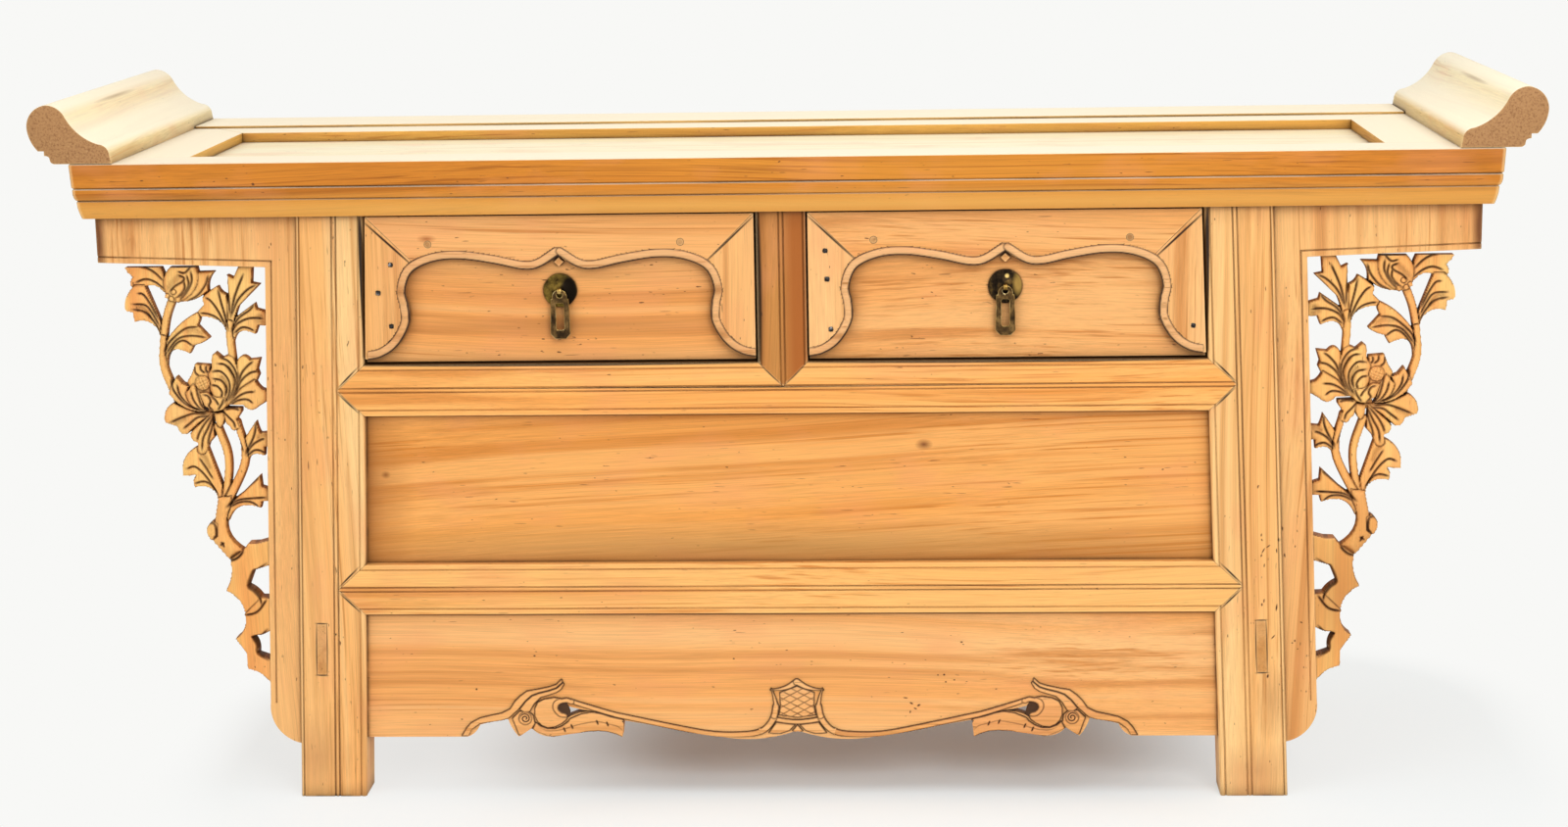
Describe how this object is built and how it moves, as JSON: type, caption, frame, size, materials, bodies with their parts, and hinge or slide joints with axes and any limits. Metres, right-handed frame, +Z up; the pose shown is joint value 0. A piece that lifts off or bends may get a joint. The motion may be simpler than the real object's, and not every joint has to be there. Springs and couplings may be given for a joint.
{
  "type": "chinese altar table",
  "caption": "Long altar coffer with upturned end flanges, cusped drawer fronts, a panelled front, a carved apron and pierced peony spandrels.",
  "frame": {"origin": "on the floor under the middle of the table", "axes": "+X along the table to the right of someone facing it, +Y from front to back, +Z up"},
  "size_m": [1.7, 0.48, 0.825],
  "materials": {
    "bleached_wood": "stripped and waxed pine, pale on top",
    "front_wood": "stripped and waxed pine",
    "carved_wood": "carved and waxed, dark in the hollows",
    "drawer_wood": "planed and unfinished",
    "inner_wood": "planed and thinly waxed",
    "bronze": "dark patina, worn bright on the edges",
    "bronze_staple": "dark patina, worn bright",
    "iron": "forged, oxidised dark"
  },
  "bodies": {
    "case": {"back_leg_left": "inner_wood", "back_leg_right": "inner_wood", "back_panel_lower": "inner_wood", "back_panel_upper": "inner_wood", "back_rail_low": "inner_wood", "back_rail_mid": "inner_wood", "bracket_left": "front_wood", "bracket_right": "front_wood", "compartment_floor": "inner_wood", "drawer_post": "front_wood", "drawer_runners": "inner_wood", "flange_left": "bleached_wood", "flange_right": "bleached_wood", "front_apron": "front_wood", "front_leg_left": "front_wood", "front_leg_right": "front_wood", "front_panel": "front_wood", "low_rail": "front_wood", "mid_rail": "front_wood", "side_panel_lower_left": "inner_wood", "side_panel_lower_right": "inner_wood", "side_panel_upper_left": "inner_wood", "side_panel_upper_right": "inner_wood", "side_rail_low_left": "inner_wood", "side_rail_low_right": "inner_wood", "side_rail_mid_left": "inner_wood", "side_rail_mid_right": "inner_wood", "side_rail_top_left": "inner_wood", "side_rail_top_right": "inner_wood", "spandrel_left": "carved_wood", "spandrel_right": "carved_wood", "top_battens": "inner_wood", "top_panel": "bleached_wood", "top_rail_back": "bleached_wood", "top_rail_front": "bleached_wood", "top_rail_left": "bleached_wood", "top_rail_right": "bleached_wood"},
    "drawer_left": {"drawer_left_back": "drawer_wood", "drawer_left_bottom": "drawer_wood", "drawer_left_front": "front_wood", "drawer_left_pull_plate": "bronze", "drawer_left_pull_staple": "bronze_staple", "drawer_left_sides": "drawer_wood", "drawer_left_trim_pins": "iron", "drawer_left_trim_stile_inner": "front_wood", "drawer_left_trim_stile_outer": "front_wood", "drawer_left_trim_top": "front_wood"},
    "drawer_right": {"drawer_right_back": "drawer_wood", "drawer_right_bottom": "drawer_wood", "drawer_right_front": "front_wood", "drawer_right_pull_plate": "bronze", "drawer_right_pull_staple": "bronze_staple", "drawer_right_sides": "drawer_wood", "drawer_right_trim_pins": "iron", "drawer_right_trim_stile_inner": "front_wood", "drawer_right_trim_stile_outer": "front_wood", "drawer_right_trim_top": "front_wood"},
    "pull_left": {"drawer_left_pull_drop": "bronze"},
    "pull_right": {"drawer_right_pull_drop": "bronze"}
  },
  "joints": [
    {"name": "drawer_left_slide", "type": "slide", "parent": "case", "child": "drawer_left", "axis": [0, -1, 0], "range_m": [0, 0.4]},
    {"name": "pull_left_hinge", "type": "hinge", "parent": "drawer_left", "child": "pull_left", "pos_m": [-0.25351, -0.2205, 0.604], "axis": [-1, 0, 0], "range_deg": [0, 120]},
    {"name": "drawer_right_slide", "type": "slide", "parent": "case", "child": "drawer_right", "axis": [0, -1, 0], "range_m": [0, 0.4]},
    {"name": "pull_right_hinge", "type": "hinge", "parent": "drawer_right", "child": "pull_right", "pos_m": [0.25351, -0.2205, 0.604], "axis": [-1, 0, 0], "range_deg": [0, 120]}
  ]
}
